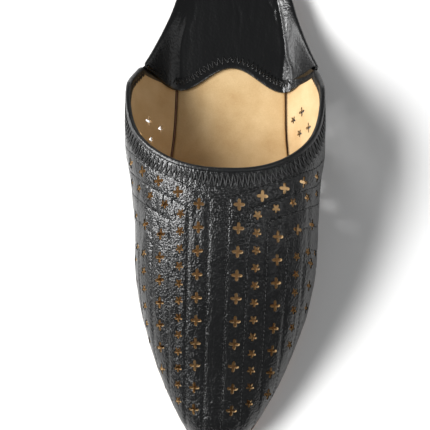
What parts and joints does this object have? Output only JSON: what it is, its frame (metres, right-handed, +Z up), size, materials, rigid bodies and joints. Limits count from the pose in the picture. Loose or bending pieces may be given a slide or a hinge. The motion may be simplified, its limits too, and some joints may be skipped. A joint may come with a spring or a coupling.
{
  "type": "babouche slipper",
  "caption": "Flat leather slipper with a long perforated vamp, stitched-down sole and a back folded down onto the insole.",
  "frame": {"origin": "middle of the footprint, on the floor", "axes": "+Z up, toe towards -Y, outer side of the left foot towards +X"},
  "size_m": [0.1046, 0.2816, 0.0684],
  "materials": {
    "sole_leather": "vegetable-tanned, smooth edge",
    "lift_leather": "darker stacked layer",
    "insole_leather": "undyed, matt",
    "upper_leather": "black glazed goatskin, grained and creased",
    "back_leather": "black glazed goatskin, smooth",
    "lining_leather": "undyed sheepskin lining",
    "welt_thread": "thick waxed cotton thread",
    "black_thread": "fine twisted thread"
  },
  "bodies": {
    "root": {"outsole": "sole_leather", "heel_lift": "lift_leather", "insole": "insole_leather", "upper_vamp": "upper_leather", "upper_folded_back": "back_leather"}
  },
  "joints": []
}
